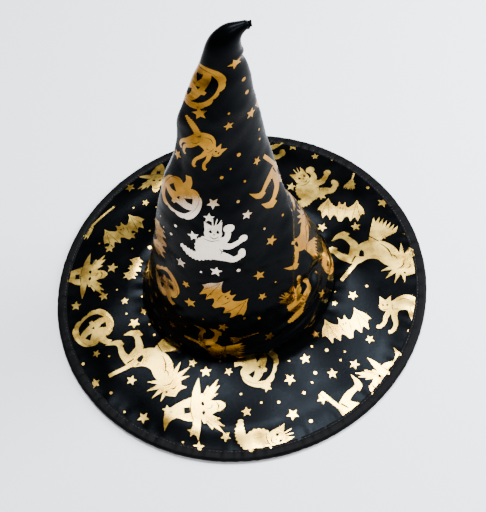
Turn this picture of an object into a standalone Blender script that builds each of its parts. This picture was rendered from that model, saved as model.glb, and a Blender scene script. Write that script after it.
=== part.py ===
"""A satin witch hat: a wired, bound brim and a pointed crown whose soft tip droops to one side.

Frame: metres, +Z up. The hat stands on its brim edge at z = 0, the brim is centred on the origin,
+X is the wearer's right as seen from the front, and the crown's back seam is at +Y.
"""

import math

import bmesh
import bpy
from mathutils import Matrix, Vector

# ---------------------------------------------------------------- driving dimensions
BRIM_RADIUS = 0.190  # outside of the edge binding
BEAD_RADIUS = 0.0031  # half the thickness of the bound edge
BINDING_CLOTH = 0.0005
BINDING_WIDTH = 0.0090  # how far the tape reaches in over the brim
WIRE_RADIUS = 0.00125
WIRE_GAP = math.radians(0.25)  # half the gap between the hoop's two ends
SLEEVE_LENGTH = 0.018
SLEEVE_BORE = 0.00165
SLEEVE_RADIUS = 0.00215

OPENING_X = 0.0950  # half axes of the oval head opening, cut in the brim
OPENING_Y = 0.0840
BRIM_EDGE = 0.1840  # outside of the brim's three sheets
FOAM_Z = (0.0018, 0.0044)
UNDER_Z = (0.0010, 0.0015)
TOP_Z = (0.0047, 0.0052)

GAP = 0.0003  # between cloths that lie on each other
CROWN_CLOTH = 0.0006
INTERLINING = 0.0008
SEAM_CLOTH = 0.0010
BAND_CLOTH = 0.0008
BAND_Z = (0.0008, 0.0270)
BAND_LEAN = 0.0024  # how much narrower the head band is at its top
SEAM_Z = (0.0012, 0.0085)
BACK_SEAM_WIDTH = 0.011

FOLD_START = 0.3120  # where the stiffened crown ends and the soft fold starts
FOLD_END = 0.3300
FOLD_PIVOT = (0.0227, 0.0, 0.3210)

LABEL_SIZE = (0.030, 0.0005, 0.022)
LABEL_PIVOT = (0.0, 0.07535, 0.0262)

# The crown's outside, from the base up: height, centre x, half width in x, half depth in y, and
# how far the oval is pressed towards two sharp side creases (0 is an oval).
CROWN_SECTIONS = (
    (0.0006, 0.0000, 0.0947, 0.0837, 0.00),
    (0.0065, 0.0000, 0.0947, 0.0837, 0.00),
    (0.0110, 0.0000, 0.0980, 0.0868, 0.00),
    (0.0180, 0.0000, 0.0976, 0.0864, 0.00),
    (0.0300, 0.0000, 0.0922, 0.0812, 0.00),
    (0.0600, 0.0000, 0.0836, 0.0722, 0.03),
    (0.0960, 0.0002, 0.0728, 0.0605, 0.08),
    (0.1580, 0.0000, 0.0565, 0.0445, 0.20),
    (0.2010, 0.0040, 0.0482, 0.0325, 0.32),
    (0.2370, 0.0090, 0.0395, 0.0240, 0.36),
    (0.2610, 0.0120, 0.0345, 0.0195, 0.36),
    (0.2900, 0.0160, 0.0270, 0.0155, 0.30),
    (0.3120, 0.0207, 0.0210, 0.0128, 0.22),
    (0.3300, 0.0240, 0.0158, 0.0112, 0.12),
)
# The drooping tip's middle line in the XZ plane, and its half width and half depth.
TIP_SECTIONS = (
    (0.0240, 0.3303, 0.0157, 0.0111),
    (0.0262, 0.3385, 0.0138, 0.0104),
    (0.0300, 0.3458, 0.0114, 0.0092),
    (0.0348, 0.3505, 0.0082, 0.0074),
    (0.0392, 0.3530, 0.0056, 0.0054),
    (0.0430, 0.3543, 0.0044, 0.0042),
    (0.0470, 0.3549, 0.0040, 0.0038),
    (0.0496, 0.3549, 0.0026, 0.0026),
)

# The heights of the crown's rings. The interlining ends one ring below the last.
CROWN_HEIGHTS = [0.0006, 0.0065, 0.0110, 0.0155, 0.0200, 0.0280, 0.0440, 0.0700, 0.0960]
CROWN_HEIGHTS += [0.1260, 0.1580, 0.1900, 0.2200, 0.2500, 0.2800, 0.3080, 0.3120]
SIDES = 36  # around the crown
TIP_SIDES = 18
BRIM_SIDES = 60

BLACK_SATIN = ((0.012, 0.012, 0.015), 0.42, 0.0)
PLAIN_SATIN = ((0.016, 0.016, 0.019), 0.50, 0.0)
BINDING_BLACK = ((0.010, 0.010, 0.011), 0.62, 0.0)
FELT_GREY = ((0.10, 0.10, 0.105), 0.95, 0.0)
FOAM_BLACK = ((0.04, 0.04, 0.04), 0.90, 0.0)
RIBBON_BLACK = ((0.018, 0.018, 0.020), 0.70, 0.0)
SPRING_STEEL = ((0.45, 0.45, 0.47), 0.35, 1.0)
SLEEVE_PLASTIC = ((0.75, 0.75, 0.72), 0.45, 0.0)
LABEL_WHITE = ((0.80, 0.80, 0.78), 0.60, 0.0)


# ---------------------------------------------------------------- scene helpers
def clear_scene():
    for obj in list(bpy.data.objects):
        bpy.data.objects.remove(obj, do_unlink=True)


def material(name, look):
    colour, roughness, metallic = look
    made = bpy.data.materials.new(name)
    made.use_nodes = True
    shader = made.node_tree.nodes["Principled BSDF"]
    shader.inputs["Base Color"].default_value = (*colour, 1.0)
    shader.inputs["Roughness"].default_value = roughness
    shader.inputs["Metallic"].default_value = metallic
    return made


def add_object(name, data, look):
    obj = bpy.data.objects.new(name, data)
    obj.data.materials.append(material(name, look))
    hat.objects.link(obj)
    return obj


def smooth(obj, angle=math.radians(40)):
    obj.data.shade_smooth()
    obj.data.set_sharp_from_angle(angle=angle)


def thicken(obj, thickness):
    """Gives an open surface its thickness, inwards from its outer face."""
    solidify = obj.modifiers.new("cloth thickness", "SOLIDIFY")
    solidify.thickness = thickness
    solidify.offset = -1.0
    solidify.use_even_offset = True


# ---------------------------------------------------------------- shared geometry
def along(sections, t):
    """A smooth row of values at place t (0 to len - 1) through the sections (Catmull-Rom)."""
    i = min(int(t), len(sections) - 2)
    f = t - i
    before, start, end, after = (
        sections[max(0, min(len(sections) - 1, k))] for k in (i - 1, i, i + 1, i + 2)
    )
    row = []
    for p0, p1, p2, p3 in zip(before, start, end, after):
        curve = 2 * p1 + (p2 - p0) * f + (2 * p0 - 5 * p1 + 4 * p2 - p3) * f * f
        row.append((curve + (3 * p1 - p0 - 3 * p2 + p3) * f**3) / 2)
    return row


def crown_row(z):
    """Centre x, half width, half depth and crease of the crown's outside at height z."""
    heights = [s[0] for s in CROWN_SECTIONS]
    i = max(k for k in range(len(heights) - 1) if heights[k] <= z + 1e-9)
    f = min(1.0, (z - heights[i]) / (heights[i + 1] - heights[i]))
    lower, upper = CROWN_SECTIONS[i], CROWN_SECTIONS[i + 1]
    below = CROWN_SECTIONS[max(0, i - 1)]
    above = CROWN_SECTIONS[min(len(heights) - 1, i + 2)]
    step = upper[0] - lower[0]
    row = []
    for k in range(1, 5):
        start_slope = (upper[k] - below[k]) / (upper[0] - below[0]) * step
        end_slope = (above[k] - lower[k]) / (above[0] - lower[0]) * step
        rise = upper[k] - lower[k]
        bend = start_slope + end_slope - 2 * rise
        row.append(lower[k] + f * (start_slope + f * (rise - start_slope - bend + f * bend)))
    row[3] = max(0.0, row[3])
    return row


def oval(centre_x, half_x, half_y, crease, angle):
    """A point of an oval whose left and right ends are pressed into creases."""
    across, deep = math.cos(angle), math.sin(angle)
    return centre_x + half_x * across, half_y * deep * abs(deep) ** crease


def crown_ring(z, inset, angles):
    centre_x, half_x, half_y, crease = crown_row(z)
    return [Vector((*oval(centre_x, half_x - inset, half_y - inset, crease, a), z)) for a in angles]


def turn(count, start=0.0, end=2 * math.pi):
    """count angles; the last one is left out when they go all the way round."""
    whole = end - start >= 2 * math.pi - 1e-9
    return [start + (end - start) * i / (count if whole else count - 1) for i in range(count)]


def loft(name, rings, look, closed_round=True, cap_end=False):
    """An open skin through rings of points that run counter-clockwise, from the bottom up."""
    mesh = bpy.data.meshes.new(name)
    build = bmesh.new()
    rows = [[build.verts.new(p) for p in ring] for ring in rings]
    for low, high in zip(rows, rows[1:]):
        count = len(low)
        for i in range(count if closed_round else count - 1):
            j = (i + 1) % count
            build.faces.new((low[i], low[j], high[j], high[i]))
    if cap_end:
        build.faces.new(rows[-1])
    build.to_mesh(mesh)
    build.free()
    obj = add_object(name, mesh, look)
    smooth(obj)
    return obj


def hang_from(obj, pivot):
    """Moves a piece's origin onto its joint's axis, with the piece where it was."""
    obj.data.transform(Matrix.Translation(-Vector(pivot)))
    obj.location = pivot


def steps(low, high, count):
    return [low + (high - low) * i / (count - 1) for i in range(count)]


# ---------------------------------------------------------------- brim
def brim_sheet(name, z_range, look):
    """One flat sheet of the brim: a disc with the oval head opening, as a filled 2D curve."""
    outline = bpy.data.curves.new(name, "CURVE")
    outline.dimensions = "2D"
    outline.fill_mode = "BOTH"
    outline.extrude = (z_range[1] - z_range[0]) / 2
    for half_x, half_y in ((BRIM_EDGE, BRIM_EDGE), (OPENING_X, OPENING_Y)):
        spline = outline.splines.new("POLY")
        spline.points.add(BRIM_SIDES - 1)
        spline.use_cyclic_u = True
        for point, angle in zip(spline.points, turn(BRIM_SIDES)):
            point.co = (half_x * math.cos(angle), half_y * math.sin(angle), 0, 1)
    sheet = add_object(name, outline, look)
    sheet.location.z = (z_range[0] + z_range[1]) / 2
    return sheet


def edge_binding():
    """Bias tape folded round the wired edge: a U section, open towards the brim, turned about Z."""
    middle_r, middle_z = BRIM_RADIUS - BEAD_RADIUS, BEAD_RADIUS
    inner = BEAD_RADIUS - BINDING_CLOTH
    edge_r = middle_r - BINDING_WIDTH
    arc = steps(math.pi / 2, -math.pi / 2, 7)
    outside = [(middle_r + BEAD_RADIUS * math.cos(a), middle_z + BEAD_RADIUS * math.sin(a)) for a in arc]
    inside = [(middle_r + inner * math.cos(a), middle_z + inner * math.sin(a)) for a in reversed(arc)]
    profile = [(edge_r, middle_z + BEAD_RADIUS), *outside, (edge_r, middle_z - BEAD_RADIUS)]
    profile += [(edge_r, middle_z - inner), *inside, (edge_r, middle_z + inner)]
    mesh = bpy.data.meshes.new("edge_binding")
    count = len(profile)
    mesh.from_pydata(
        [(r, 0.0, z) for r, z in profile], [(i, (i + 1) % count) for i in range(count)], []
    )
    obj = add_object("edge_binding", mesh, BINDING_BLACK)
    screw = obj.modifiers.new("turned", "SCREW")
    screw.axis = "Z"
    screw.steps = BRIM_SIDES
    screw.render_steps = BRIM_SIDES
    screw.use_merge_vertices = True
    screw.merge_threshold = 0.00001
    return obj


def brim_hoop():
    """The sprung wire hoop in the binding. Its two ends meet at the back, inside the sleeve."""
    curve = bpy.data.curves.new("brim_hoop", "CURVE")
    curve.dimensions = "3D"
    curve.bevel_depth = WIRE_RADIUS
    curve.bevel_resolution = 2
    curve.use_fill_caps = True
    spline = curve.splines.new("POLY")
    back = math.pi / 2
    angles = steps(back + WIRE_GAP, back + 2 * math.pi - WIRE_GAP, BRIM_SIDES)
    spline.points.add(len(angles) - 1)
    radius = BRIM_RADIUS - BEAD_RADIUS
    for point, angle in zip(spline.points, angles):
        point.co = (radius * math.cos(angle), radius * math.sin(angle), BEAD_RADIUS, 1)
    return add_object("brim_hoop", curve, SPRING_STEEL)


def hoop_sleeve():
    """The plastic tube that joins the hoop's ends, turned about its own X axis."""
    half = SLEEVE_LENGTH / 2
    profile = [(-half, SLEEVE_BORE), (half, SLEEVE_BORE), (half, SLEEVE_RADIUS), (-half, SLEEVE_RADIUS)]
    mesh = bpy.data.meshes.new("hoop_sleeve")
    mesh.from_pydata([(x, 0.0, r) for x, r in profile], [(i, (i + 1) % 4) for i in range(4)], [])
    obj = add_object("hoop_sleeve", mesh, SLEEVE_PLASTIC)
    screw = obj.modifiers.new("turned", "SCREW")
    screw.axis = "X"
    screw.steps = 20
    screw.render_steps = 20
    screw.use_merge_vertices = True
    screw.merge_threshold = 0.00001
    sag = half * half / (2 * BRIM_RADIUS) / 2  # centres the straight tube on the curved wire
    obj.location = (0.0, BRIM_RADIUS - BEAD_RADIUS - sag, BEAD_RADIUS)
    return obj


# ---------------------------------------------------------------- crown
def crown():
    """The printed crown: a stiffened cone, the soft fold, and the drooping tip beyond it."""
    rings = [crown_ring(z, 0.0, turn(SIDES)) for z in CROWN_HEIGHTS]
    thicken(loft("crown_cone", rings, BLACK_SATIN), CROWN_CLOTH)
    fold = steps(FOLD_START + GAP, FOLD_END - GAP, 4)
    thicken(
        loft("crown_fold", [crown_ring(z, 0.0, turn(TIP_SIDES)) for z in fold], BLACK_SATIN),
        CROWN_CLOTH,
    )
    tip_rings = [tip_ring(t) for t in steps(0, len(TIP_SECTIONS) - 1, 13)]
    tip = loft("crown_tip", tip_rings, BLACK_SATIN, cap_end=True)
    thicken(tip, CROWN_CLOTH)
    hang_from(tip, FOLD_PIVOT)


def tip_ring(t):
    """A ring of the tip, square to its middle line."""
    x, z, half_x, half_y = along(TIP_SECTIONS, t)
    last = len(TIP_SECTIONS) - 1
    before, after = along(TIP_SECTIONS, max(0.0, t - 0.05)), along(TIP_SECTIONS, min(last, t + 0.05))
    forward = Vector((after[0] - before[0], 0.0, after[1] - before[1])).normalized()
    if t == 0:
        forward = Vector((0.0, 0.0, 1.0))
    across = Vector((forward.z, 0.0, -forward.x))
    middle = Vector((x, 0.0, z))
    return [
        middle + across * half_x * math.cos(a) + Vector((0, half_y * math.sin(a), 0))
        for a in turn(TIP_SIDES)
    ]


def crown_interlining():
    """The stiff sheet behind the satin, which ends below the fold so that the tip stays soft."""
    inset = CROWN_CLOTH + GAP
    heights = [0.0012, *CROWN_HEIGHTS[1:-1]]
    rings = [crown_ring(z, inset, turn(SIDES)) for z in heights]
    thicken(loft("crown_interlining", rings, FELT_GREY), INTERLINING)


def crown_back_seam():
    """The turned-in seam allowance up the back of the crown, lying on the interlining."""
    inset = CROWN_CLOTH + INTERLINING + 4 * GAP
    rings = []
    for z in CROWN_HEIGHTS[5:-2]:
        half_angle = BACK_SEAM_WIDTH / 2 / crown_row(z)[1]
        angles = turn(3, math.pi / 2 - half_angle, math.pi / 2 + half_angle)
        rings.append(crown_ring(z, inset, angles))
    thicken(loft("crown_back_seam", rings, BLACK_SATIN, closed_round=False), SEAM_CLOTH)


# ---------------------------------------------------------------- inside the head opening
def band_ring(z, inset, angles):
    """A ring of the head band, which leans in a little towards its top."""
    lean = BAND_LEAN * (z - BAND_Z[0]) / (BAND_Z[1] - BAND_Z[0])
    half_x, half_y = OPENING_X - inset - lean, OPENING_Y - inset - lean
    return [Vector((half_x * math.cos(a), half_y * math.sin(a), z)) for a in angles]


SEAM_INSET = CROWN_CLOTH + INTERLINING + 3 * GAP
BAND_INSET = SEAM_INSET + SEAM_CLOTH + GAP


def opening_seam():
    """The overlocked seam allowance that joins crown and brim, hidden by the head band."""
    rings = [
        [Vector((*oval(0, OPENING_X - SEAM_INSET, OPENING_Y - SEAM_INSET, 0, a), z)) for a in turn(SIDES)]
        for z in steps(*SEAM_Z, 2)
    ]
    thicken(loft("opening_seam", rings, BLACK_SATIN), SEAM_CLOTH)


def head_band():
    rings = [band_ring(z, BAND_INSET, turn(SIDES)) for z in steps(*BAND_Z, 3)]
    thicken(loft("head_band", rings, RIBBON_BLACK), BAND_CLOTH)


def care_label():
    """A blank sewn-in label that hangs plumb from its top edge at the back of the head band."""
    mesh = bpy.data.meshes.new("care_label")
    build = bmesh.new()
    hang = Matrix.Translation((0.0, 0.0, -LABEL_SIZE[2] / 2)) @ Matrix.Diagonal((*LABEL_SIZE, 1.0))
    bmesh.ops.create_cube(build, size=1.0, matrix=hang)
    build.to_mesh(mesh)
    build.free()
    add_object("care_label", mesh, LABEL_WHITE).location = LABEL_PIVOT


clear_scene()
hat = bpy.data.collections.new("witch_hat")
bpy.context.scene.collection.children.link(hat)
brim_sheet("brim_top_cover", TOP_Z, BLACK_SATIN)
brim_sheet("brim_foam", FOAM_Z, FOAM_BLACK)
brim_sheet("brim_under_cover", UNDER_Z, PLAIN_SATIN)
edge_binding()
brim_hoop()
hoop_sleeve()
crown()
crown_interlining()
crown_back_seam()
opening_seam()
head_band()
care_label()
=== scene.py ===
"""The looks of a satin witch hat with a gold foil print.

Metres, +Z up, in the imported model's frame: the hat stands on its brim at z = 0, its front is -Y,
the crown's back seam is at +Y and the soft tip droops towards +X. The crown's satin is drawn flat,
as the fan-shaped piece that it is cut from, printed there, and then rolled up and creased.
"""

import math
import random

import bmesh
import bpy
import numpy as np
from mathutils import Matrix, Vector
from mathutils.geometry import delaunay_2d_cdt
from mathutils.kdtree import KDTree


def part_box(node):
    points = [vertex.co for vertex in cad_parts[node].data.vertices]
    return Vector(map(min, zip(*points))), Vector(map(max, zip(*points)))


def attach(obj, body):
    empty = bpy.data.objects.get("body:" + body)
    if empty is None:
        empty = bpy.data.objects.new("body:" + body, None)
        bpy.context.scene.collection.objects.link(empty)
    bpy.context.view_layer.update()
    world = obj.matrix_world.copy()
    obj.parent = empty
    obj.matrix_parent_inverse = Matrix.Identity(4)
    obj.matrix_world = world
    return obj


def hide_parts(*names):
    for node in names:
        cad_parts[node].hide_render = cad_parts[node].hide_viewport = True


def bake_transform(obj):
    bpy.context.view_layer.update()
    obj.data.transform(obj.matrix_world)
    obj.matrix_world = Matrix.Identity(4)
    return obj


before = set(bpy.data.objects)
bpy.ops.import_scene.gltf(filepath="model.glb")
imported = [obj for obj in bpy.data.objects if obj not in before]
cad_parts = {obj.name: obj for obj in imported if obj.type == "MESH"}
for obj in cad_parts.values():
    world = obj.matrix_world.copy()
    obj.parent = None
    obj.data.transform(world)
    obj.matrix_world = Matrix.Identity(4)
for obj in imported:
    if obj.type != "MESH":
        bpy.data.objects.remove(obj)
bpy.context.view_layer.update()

MM = 0.001

# ---------------------------------------------------------------- sizes
BRIM_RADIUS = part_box("edge_binding")[1].x
SATIN_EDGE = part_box("brim_top_cover")[1].x  # the brim's cloths end inside the binding
TOP_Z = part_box("brim_top_cover")[1].z
UNDER_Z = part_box("brim_under_cover")[0].z
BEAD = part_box("edge_binding")[1].z / 2  # half the thickness of the bound edge
OPENING = (0.0950, 0.0840)  # half axes of the oval hole in the brim
BAND_LOW, BAND_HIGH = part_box("head_band")
SATIN = 0.35 * MM  # the thicknesses of the cloths
STIFFENER = 0.5 * MM
GROSGRAIN = 0.6 * MM
TAPE_CLOTH = 0.5 * MM
SEAM_CLOTH = 0.3 * MM
LABEL_CLOTH = 0.35 * MM
FOIL_LIFT = 0.12 * MM
FOIL = 0.07 * MM
EDGE_STITCH_IN = 5.9 * MM  # from the middle of the bound edge's bead
PRINT_GAP = 11.0  # mm left between a small printed star and its neighbours
FAN_ANGLE = 1.5  # of the crown's flat piece, in radians

# The crown's outside, from the base to the end of its tail: centre x and z, half width, half
# depth, how far the oval is pressed into two side creases, and how far the ring tilts to +X.
STATIONS = (
    (0.0000, 0.0006, 0.0946, 0.0836, 0.00, 0),
    (0.0000, 0.0065, 0.0946, 0.0836, 0.00, 0),
    (0.0000, 0.0110, 0.0980, 0.0868, 0.00, 0),
    (0.0000, 0.0180, 0.0976, 0.0864, 0.00, 0),
    (0.0000, 0.0300, 0.0922, 0.0812, 0.00, 0),
    (0.0000, 0.0600, 0.0836, 0.0722, 0.03, 0),
    (0.0002, 0.0960, 0.0728, 0.0605, 0.08, 0),
    (0.0000, 0.1580, 0.0565, 0.0445, 0.20, 0),
    (0.0040, 0.2010, 0.0482, 0.0325, 0.32, 0),
    (0.0090, 0.2370, 0.0395, 0.0240, 0.36, 0),
    (0.0120, 0.2610, 0.0345, 0.0195, 0.36, 0),
    (0.0160, 0.2900, 0.0270, 0.0155, 0.30, 0),
    (0.0207, 0.3120, 0.0210, 0.0128, 0.22, 0),
    (0.0240, 0.3303, 0.0157, 0.0111, 0.12, 4),
    (0.0262, 0.3385, 0.0138, 0.0104, 0.05, 20),
    (0.0300, 0.3458, 0.0114, 0.0092, 0.00, 38),
    (0.0348, 0.3505, 0.0082, 0.0074, 0.00, 55),
    (0.0392, 0.3530, 0.0056, 0.0054, 0.00, 66),
    (0.0430, 0.3543, 0.0044, 0.0042, 0.00, 74),
    (0.0470, 0.3549, 0.0040, 0.0038, 0.00, 82),
    (0.0496, 0.3549, 0.0026, 0.0026, 0.00, 92),
)
INTERLINING_END = 0.306  # the way up the cloth
# painted highlight: the middle of the patch where the crown's foil colour is paled to stand in for a
# reflected light
PAINTED_HIGHLIGHT_CENTRE = (-0.020, -0.053, 0.156)  # the middle of the paler patch of foil


# ================================================================ shapes
def smooth_rows(knots, rows, at):
    """A smooth curve through rows of values at the knots (cubic, with averaged slopes)."""
    rows = np.asarray(rows, float)
    slope = np.gradient(rows, knots, axis=0)
    i = np.clip(np.searchsorted(knots, at, side="right") - 1, 0, len(knots) - 2)
    step = np.diff(knots)[i][:, None]
    f = (at - knots[i])[:, None] / step
    low = (2 * f**3 - 3 * f**2 + 1) * rows[i] + (f**3 - 2 * f**2 + f) * slope[i] * step
    return low + (3 * f**2 - 2 * f**3) * rows[i + 1] + (f**3 - f**2) * slope[i + 1] * step


class Crown:
    """The rolled-up crown. u runs once round from the back seam, over -X, the front (0.5) and +X.
    s is the way up the cloth from its lower edge, in metres."""

    ROWS, ROUND, FINE = 600, 721, 1441

    def __init__(self):
        middle = np.array(STATIONS)[:, :2]
        knots = np.concatenate([[0], np.cumsum(np.hypot(*np.diff(middle, axis=0).T))])
        fine = np.linspace(0, knots[-1], self.ROWS)
        self.rows = smooth_rows(knots, STATIONS, fine)
        self.rows[:, 4] = np.maximum(self.rows[:, 4], 0)
        girth = np.sqrt((self.rows[:, 2] ** 2 + self.rows[:, 3] ** 2) / 2)
        self.slant = np.concatenate([[0], np.cumsum(np.hypot(np.diff(fine), np.diff(girth)))])
        self.length = self.slant[-1]
        angle = np.linspace(-1.5 * np.pi, 0.5 * np.pi, self.FINE)
        even = np.linspace(0, 1, self.ROUND)
        self.across, self.deep = np.empty((2, self.ROWS, self.ROUND))
        for r, (_, _, half_x, half_y, press, _) in enumerate(self.rows):
            across = np.cos(angle)
            deep = np.sin(angle) * np.abs(np.sin(angle)) ** press
            run = np.hypot(np.diff(across * half_x), np.diff(deep * half_y))
            share = np.concatenate([[0], np.cumsum(run)]) / run.sum()
            self.across[r] = np.interp(even, share, across)
            self.deep[r] = np.interp(even, share, deep)

    def plain(self, u, s):
        """Points of the crown before it is creased."""
        place = np.interp(s, self.slant, np.arange(self.ROWS))
        x, z, half_x, half_y, _, tilt = (
            np.interp(place, np.arange(self.ROWS), column) for column in self.rows.T
        )
        row = place.astype(int)
        turn = (u % 1.0) * (self.ROUND - 1)
        column = np.minimum(turn.astype(int), self.ROUND - 2)
        f = turn - column
        across = self.across[row, column] * (1 - f) + self.across[row, column + 1] * f
        deep = self.deep[row, column] * (1 - f) + self.deep[row, column + 1] * f
        tilt = np.radians(tilt)
        return np.stack(
            [x + across * half_x * np.cos(tilt), deep * half_y, z - across * half_x * np.sin(tilt)],
            axis=-1,
        )

    def outwards(self, u, s):
        du, ds = 0.002, 1.5 * MM
        low, high = np.maximum(s - ds, 0), np.minimum(s + ds, self.length)
        around = self.plain(u + du, s) - self.plain(u - du, s)
        up = self.plain(u, high) - self.plain(u, low)
        normal = np.cross(around, up)
        return normal / np.maximum(np.linalg.norm(normal, axis=1, keepdims=True), 1e-12)

    def points(self, u, s, inset=0.0):
        """Points of the creased crown, or of a cloth that lies inset metres inside it."""
        return self.plain(u, s) + self.outwards(u, s) * (self.creases(u, s) - inset)[:, None]

    def flat(self, u, s, middle=0.5):
        """Where a point lies on the flat fan, whose tip is at the origin and which hangs down."""
        reach = self.length - s
        turn = ((u - middle + 0.5) % 1.0 - 0.5) * FAN_ANGLE
        return np.stack([reach * np.sin(turn), -reach * np.cos(turn)], axis=-1)

    def creases(self, u, s):
        """How far each point of the cloth stands out from the plain crown."""
        out = np.zeros(len(u))
        for path, side in FOLDS:
            out += self.fold(u, s, path, side)
        at = self.plain(u, s)
        loose = smooth_step(s, 0.030, 0.075) * (1 - 0.75 * smooth_step(s, 0.34, 0.36))
        out += loose * (1.1 * MM * waves(at, 0.085, 3) + 0.55 * MM * waves(at, 0.034, 5))
        out += loose * 0.22 * MM * waves(at, 0.014, 7)
        # gathers where the crown is sewn into the brim
        gather = np.exp(-((s - 0.012) ** 2) / (2 * 0.010**2))
        out += gather * 0.9 * MM * waves(np.stack([u * 560 * MM, s * 0.25], -1), 0.020, 11)
        # the back seam draws the cloth in, with small puckers along the stitching
        across = ((u + 0.5) % 1.0 - 0.5) * FAN_ANGLE * (self.length - s)
        seam = np.exp(-((across / (2.2 * MM)) ** 2))
        near = np.exp(-((across / (9 * MM)) ** 2)) - seam
        out -= 0.8 * MM * seam
        out += 0.35 * MM * near * np.sin(s / (4.5 * MM) + 3 * waves(at, 0.05, 13))
        # keeps the cloth off the head band
        return np.where(s < 0.032, np.maximum(out, -1.2 * MM), out)

    def fold(self, u, s, path, side):
        """One crease: path is (u, s in mm, height in mm) points, and side how far it reaches to
        its left and its right in mm, how blunt its crest is, and how much of its height it falls
        below the cloth just to the right of the crest."""
        middle = path[0][0]
        flat = self.flat(u, s, middle)
        line = np.array(path)
        corners = self.flat(line[:, 0], line[:, 1] * MM, middle)
        best, height, sign = np.full(len(u), 1e9), np.zeros(len(u)), np.ones(len(u))
        for a, b, low, high in zip(corners, corners[1:], line[:, 2], line[1:, 2]):
            run = b - a
            t = np.clip(((flat - a) @ run) / (run @ run), 0, 1)
            away = flat - (a + t[:, None] * run)
            distance = np.hypot(*away.T)
            closer = distance < best
            best = np.where(closer, distance, best)
            height = np.where(closer, low + (high - low) * t, height)
            right = run[0] * away[:, 1] - run[1] * away[:, 0] < 0
            sign = np.where(closer, np.where(right, 1.0, -1.0), sign)
        left_reach, right_reach, blunt, *drop = side
        reach = np.where(sign > 0, right_reach, left_reach) * MM
        away = np.sqrt((best / reach) ** 2 + blunt**2) - blunt
        shape = np.exp(-(away**1.5))
        if drop:
            fall = (1 + drop[0]) * smooth_step(best, 0, 3.5 * MM)
            shape = np.where(sign > 0, shape * (1 - fall), shape)
        return height * MM * shape


def smooth_step(value, low, high):
    t = np.clip((value - low) / (high - low), 0, 1)
    return t * t * (3 - 2 * t)


def waves(points, size, seed, count=14):
    """Smooth unevenness, mostly between -1 and 1, with bumps of about the given size in metres."""
    draw = np.random.default_rng(seed)
    total = np.zeros(len(points))
    for _ in range(count):
        direction = draw.normal(size=points.shape[1])
        direction /= np.linalg.norm(direction)
        rate = 2 * np.pi / (size * draw.uniform(0.7, 1.6))
        total += np.sin(points @ direction * rate + draw.uniform(0, 2 * np.pi))
    return total / math.sqrt(count) / 1.4


# Creases of the crown: points up the crease as (u, s in mm, height in mm), then its reach to the
# left and right in mm, its bluntness and, where it overhangs, its drop. A valley's height is
# negative.
FOLDS = (
    # the long sharp crease down the front right, which hangs over the hollow panel beside it
    (
        ((0.60, 56, 0), (0.61, 78, 4.0), (0.64, 111, 7.5), (0.69, 146, 7.0), (0.72, 175, 4.5))
        + ((0.75, 240, 0),),
        (20, 26, 0.05, 0.9),
    ),
    # the flare to the right of it, and the tuck under the crease's foot
    (((0.725, 36, 2.0), (0.75, 66, 4.5), (0.775, 105, 3.5), (0.79, 150, 0)), (14, 18, 0.4)),
    (((0.60, 66, 0), (0.64, 62, -4.5), (0.69, 56, -5.0), (0.735, 46, 0)), (6, 7, 0.1)),
    (((0.67, 88, 0), (0.695, 74, 3.5), (0.72, 52, 2.0), (0.735, 40, 0)), (6, 6, 0.08)),
    # rolls that run up to the right along the puffed base
    (((0.47, 12, 0), (0.54, 17, 2.6), (0.61, 25, 3.8), (0.69, 35, 2.5), (0.74, 42, 0)), (5, 7, 0.08)),
    (((0.53, 27, 0), (0.60, 37, 2.8), (0.66, 47, 3.4), (0.71, 60, 0)), (5, 7, 0.08)),
    (((0.56, 45, 0), (0.61, 52, 2.2), (0.65, 62, 2.4), (0.68, 74, 0)), (5, 6, 0.1)),
    (((0.44, 19, 0), (0.53, 23, -2.0), (0.60, 31, -2.6), (0.68, 42, 0)), (3.5, 3.5, 0.2)),
    # soft dents on the left and the front
    (((0.17, 276, 0), (0.24, 281, 2.0), (0.31, 285, 1.0), (0.36, 287, 0)), (9, 8, 0.1)),
    (((0.13, 248, 0), (0.22, 252, -4.0), (0.30, 255, -3.2), (0.37, 258, 0)), (20, 22, 0.6)),
    (((0.27, 40, 0), (0.28, 85, -3.0), (0.30, 130, -2.5), (0.31, 175, 0)), (12, 16, 0.5)),
    (((0.34, 30, 0), (0.36, 62, 2.0), (0.37, 110, 1.0), (0.38, 150, 0)), (14, 18, 0.5)),
    (((0.39, 16, 0), (0.40, 32, -3.0), (0.38, 52, 0)), (7, 7, 0.3)),
    (((0.43, 14, 0), (0.42, 30, 2.0), (0.41, 46, 0)), (6, 7, 0.2)),
    (((0.29, 14, 0), (0.30, 30, -2.5), (0.31, 50, 0)), (7, 9, 0.3)),
    (((0.45, 200, 0), (0.50, 240, -1.5), (0.56, 275, 0)), (14, 14, 0.5)),
    (((0.36, 235, 0), (0.42, 270, 1.6), (0.50, 300, 1.2), (0.58, 322, 0)), (10, 12, 0.4)),
    # the buckle where the tip bends over
    (((0.62, 345, 0), (0.75, 338, -1.6), (0.88, 345, 0)), (4, 4, 0.2)),
    (((0.64, 352, 0), (0.75, 347, 0.8), (0.86, 352, 0)), (3, 3, 0.2)),
    (((0.30, 322, 0), (0.42, 334, -1.4), (0.55, 338, 0)), (5, 5, 0.3)),
    # the back, where the stiff cone has been folded flat in its packing
    (((0.03, 40, 0), (0.05, 110, 2.2), (0.08, 190, 1.6), (0.11, 250, 0)), (14, 12, 0.25)),
    (((0.93, 60, 0), (0.91, 120, -2.2), (0.90, 190, 0)), (16, 16, 0.5)),
    (((0.14, 35, 0), (0.15, 90, -2.6), (0.17, 150, 0)), (15, 18, 0.5)),
    (((0.86, 16, 0), (0.90, 30, 1.8), (0.95, 40, 0)), (7, 8, 0.3)),
    (((0.19, 14, 0), (0.14, 28, 1.6), (0.08, 36, 0)), (7, 8, 0.3)),
)


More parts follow.
